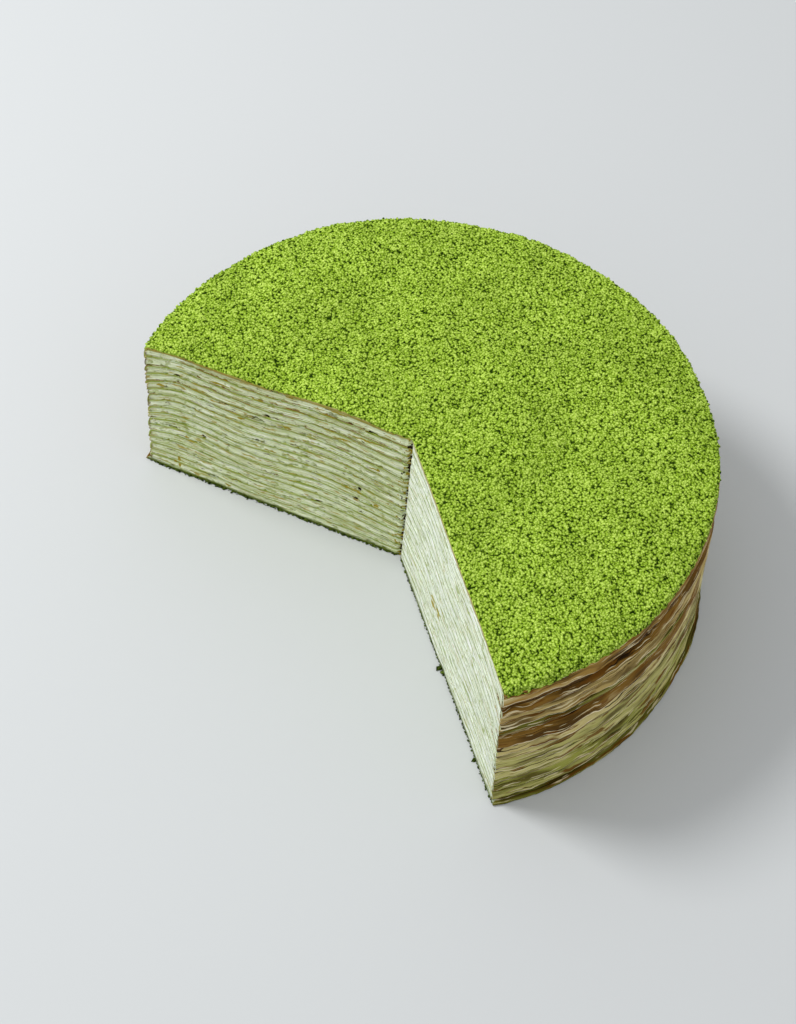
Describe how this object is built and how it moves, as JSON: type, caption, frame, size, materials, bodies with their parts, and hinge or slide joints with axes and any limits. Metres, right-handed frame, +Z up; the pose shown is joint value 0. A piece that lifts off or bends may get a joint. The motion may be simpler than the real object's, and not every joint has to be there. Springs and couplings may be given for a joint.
{
  "type": "cut green tea crepe cake",
  "caption": "Round layer cake of thin crepes and whipped cream, dusted with green tea powder, with a wide wedge cut out so that its layers show; food to stand on a plate or a stand.",
  "frame": {"origin": "middle of the whole round, on the flat underside", "axes": "+Z up; the missing wedge opens towards -Y, and X runs across the cake's full width"},
  "size_m": [0.2337, 0.1696, 0.0761],
  "materials": {
    "crepe": "matte",
    "cream": "satin",
    "matcha_powder": "matte"
  },
  "bodies": {
    "root": {"crepe_01": "crepe", "cream_01": "cream", "crepe_02": "crepe", "cream_02": "cream", "crepe_03": "crepe", "cream_03": "cream", "crepe_04": "crepe", "cream_04": "cream", "crepe_05": "crepe", "cream_05": "cream", "crepe_06": "crepe", "cream_06": "cream", "crepe_07": "crepe", "cream_07": "cream", "crepe_08": "crepe", "cream_08": "cream", "crepe_09": "crepe", "cream_09": "cream", "crepe_10": "crepe", "cream_10": "cream", "crepe_11": "crepe", "cream_11": "cream", "crepe_12": "crepe", "cream_12": "cream", "crepe_13": "crepe", "cream_13": "cream", "crepe_14": "crepe", "cream_14": "cream", "crepe_15": "crepe", "cream_15": "cream", "crepe_16": "crepe", "cream_16": "cream", "crepe_17": "crepe", "cream_17": "cream", "crepe_18": "crepe", "matcha_powder": "matcha_powder"}
  },
  "joints": []
}
